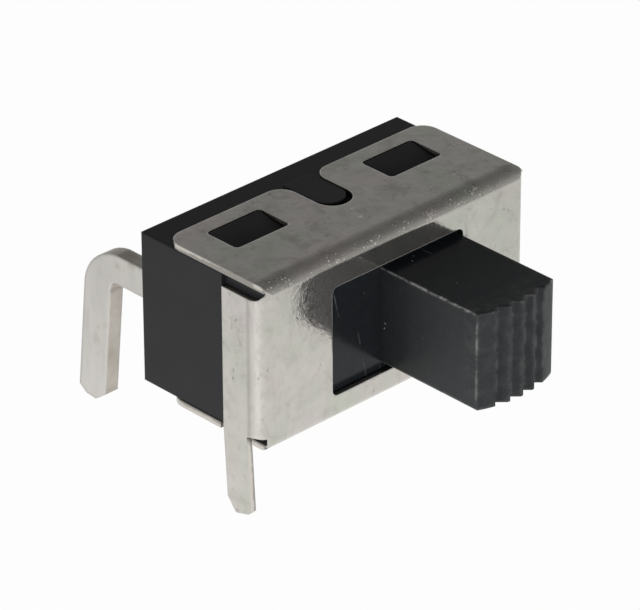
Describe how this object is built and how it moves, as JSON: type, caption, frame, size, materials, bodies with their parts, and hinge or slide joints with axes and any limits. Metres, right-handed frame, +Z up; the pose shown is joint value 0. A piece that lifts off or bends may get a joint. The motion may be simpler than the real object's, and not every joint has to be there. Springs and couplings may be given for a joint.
{
  "type": "slide switch",
  "caption": "Right-angle slide switch for a circuit board: folded steel frame over a black moulded housing, ridged sliding knob in the front window, blade terminals turned down at the rear.",
  "frame": {"origin": "on the board seat, the underside of the bottom flange, midway between the two frame legs", "axes": "+X along the switch to the right as seen from the knob's side, knob towards -Y, terminals towards +Y, +Z up from the board"},
  "size_m": [0.01, 0.0127, 0.0077],
  "materials": {
    "housing_nylon": "moulded black nylon, faintly glossy",
    "plated_steel": "bright plated sheet with handling marks",
    "knob_plastic": "moulded black plastic, semi-gloss with scuffed edges",
    "contact_brass": "spring strip, smooth",
    "tinned_brass": "dull tin plating over stamped blades"
  },
  "bodies": {
    "base": {"housing": "housing_nylon", "frame": "plated_steel", "terminal_left": "tinned_brass", "terminal_common": "tinned_brass", "terminal_right": "tinned_brass"},
    "slider": {"actuator": "knob_plastic", "moving_contact": "contact_brass"}
  },
  "joints": [
    {"name": "actuator_slide", "type": "slide", "parent": "base", "child": "slider", "axis": [1, 0, 0], "range_m": [-0.002, 0]}
  ]
}
